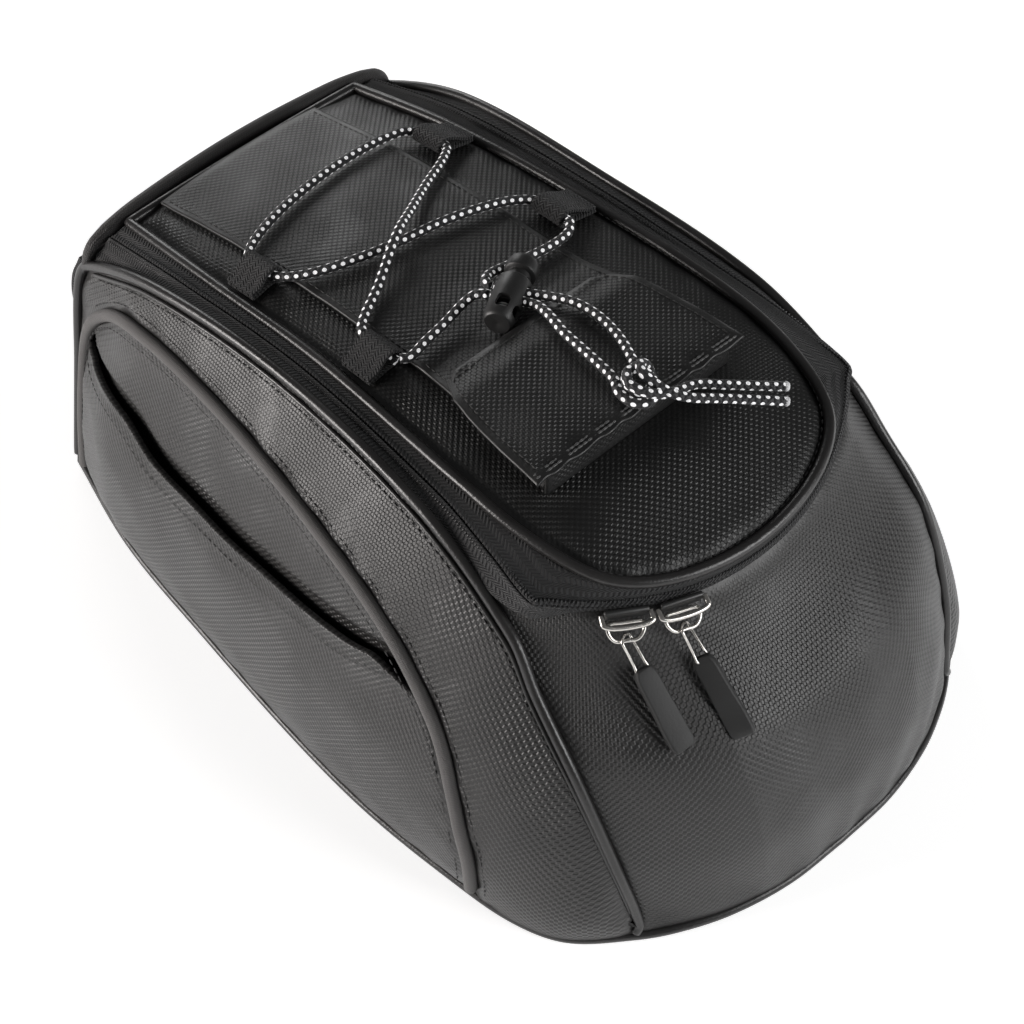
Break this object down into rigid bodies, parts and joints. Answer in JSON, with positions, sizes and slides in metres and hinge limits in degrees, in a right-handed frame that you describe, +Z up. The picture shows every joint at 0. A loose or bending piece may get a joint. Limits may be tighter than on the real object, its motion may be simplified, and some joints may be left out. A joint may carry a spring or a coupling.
{
  "type": "zipped luggage bag",
  "caption": "Black embossed bag with a rounded nose: hinged zip lid with laced bungee cord, small flap pocket, side slip pockets and zip pulls.",
  "frame": {"origin": "middle of the bounding box at the base, on the surface the bag stands on", "axes": "+Z up, -Y towards the rounded nose with the zip pulls, +Y towards the flat back with the lid hinge, +X across the bag"},
  "size_m": [0.226, 0.3261, 0.1644],
  "materials": {
    "cover": "embossed check, semi-gloss",
    "lining": "woven, matt",
    "welt": "smooth, semi-gloss",
    "reflective": "grey reflective, satin",
    "tape": "woven, matt",
    "webbing": "ribbed webbing, matt",
    "cord": "braided, black with pale dots",
    "plastic": "moulded, satin",
    "rubber": "matt",
    "nickel": "polished nickel",
    "steel": "bright wire",
    "board": "plain sheet"
  },
  "bodies": {
    "shell": {"back_binding": "reflective", "back_panel": "cover", "base_panel": "tape", "base_piping": "welt", "base_stiffener": "board", "grab_handle": "webbing", "nose_panel": "cover", "pocket_back_left": "cover", "pocket_back_right": "cover", "pocket_front_left": "cover", "pocket_front_right": "cover", "reflective_piping_left": "reflective", "reflective_piping_right": "reflective", "seam_piping_left": "welt", "seam_piping_right": "welt", "side_panel_left": "cover", "side_panel_right": "cover", "zip_coil_body": "tape", "zip_tape_body": "tape"},
    "lid": {"lid_panel": "cover", "lid_lining": "lining", "lid_piping": "welt", "zip_coil_lid": "tape", "zip_tape_lid": "tape", "sleeve_panel": "cover", "pouch_wall_left": "cover", "pouch_wall_right": "cover", "pouch_front": "cover", "hook_patch": "tape", "cord_loop_front_left": "webbing", "cord_loop_front_right": "webbing", "cord_loop_rear_left": "webbing", "cord_loop_rear_right": "webbing", "lacing_cord": "cord", "cord_lead_left": "cord", "cord_lead_right": "cord"},
    "flap": {"flap_panel": "cover", "loop_patch": "tape", "lock_barrel": "plastic", "lock_spring": "steel", "cord_tail_left": "cord", "cord_tail_right": "cord", "cord_knot": "cord", "cord_end_upper": "cord", "cord_end_lower": "cord"},
    "lock_button": {"lock_button": "plastic"},
    "slider_left": {"slider_left": "nickel", "slider_bridge_left": "nickel"},
    "pull_ring_left": {"pull_ring_left": "nickel"},
    "pull_tab_left": {"pull_wire_left": "nickel", "pull_tab_left": "rubber"},
    "slider_right": {"slider_right": "nickel", "slider_bridge_right": "nickel"},
    "pull_ring_right": {"pull_ring_right": "nickel"},
    "pull_tab_right": {"pull_wire_right": "nickel", "pull_tab_right": "rubber"}
  },
  "joints": [
    {"name": "lid_hinge", "type": "hinge", "parent": "shell", "child": "lid", "pos_m": [0, 0.14915, 0.1154], "axis": [-1, 0, 0], "range_deg": [0, 100]},
    {"name": "flap_hinge", "type": "hinge", "parent": "lid", "child": "flap", "pos_m": [-0.009, -0.06685, 0.1532], "axis": [1, 0, 0], "range_deg": [0, 30]},
    {"name": "lock_button_slide", "type": "slide", "parent": "flap", "child": "lock_button", "axis": [-0.8779, -0.4789, 0], "range_m": [0, 0.003], "stiffness_N_per_m": 600, "springref_m": -0.001},
    {"name": "slider_left_turn", "type": "hinge", "parent": "shell", "child": "slider_left", "pos_m": [0, -0.01335, 0.145], "axis": [0, -0.2785, 0.9604], "range_deg": [-6.7, 0]},
    {"name": "pull_ring_left_hinge", "type": "hinge", "parent": "slider_left", "child": "pull_ring_left", "pos_m": [-0.05117, -0.10364, 0.11548], "axis": [-0.8803, 0.4557, 0.1321], "range_deg": [0, 40]},
    {"name": "pull_tab_left_hinge", "type": "hinge", "parent": "pull_ring_left", "child": "pull_tab_left", "pos_m": [-0.05348, -0.10684, 0.1111], "axis": [-0.8803, 0.4557, 0.1321], "range_deg": [0, 90]},
    {"name": "slider_right_turn", "type": "hinge", "parent": "shell", "child": "slider_right", "pos_m": [0, -0.01335, 0.145], "axis": [0, -0.2785, 0.9604], "range_deg": [0, 55]},
    {"name": "pull_ring_right_hinge", "type": "hinge", "parent": "slider_right", "child": "pull_ring_right", "pos_m": [-0.03403, -0.1113, 0.11326], "axis": [-0.9494, 0.3016, 0.0875], "range_deg": [0, 40]},
    {"name": "pull_tab_right_hinge", "type": "hinge", "parent": "pull_ring_right", "child": "pull_tab_right", "pos_m": [-0.03561, -0.11502, 0.10897], "axis": [-0.9494, 0.3016, 0.0875], "range_deg": [0, 90]}
  ]
}
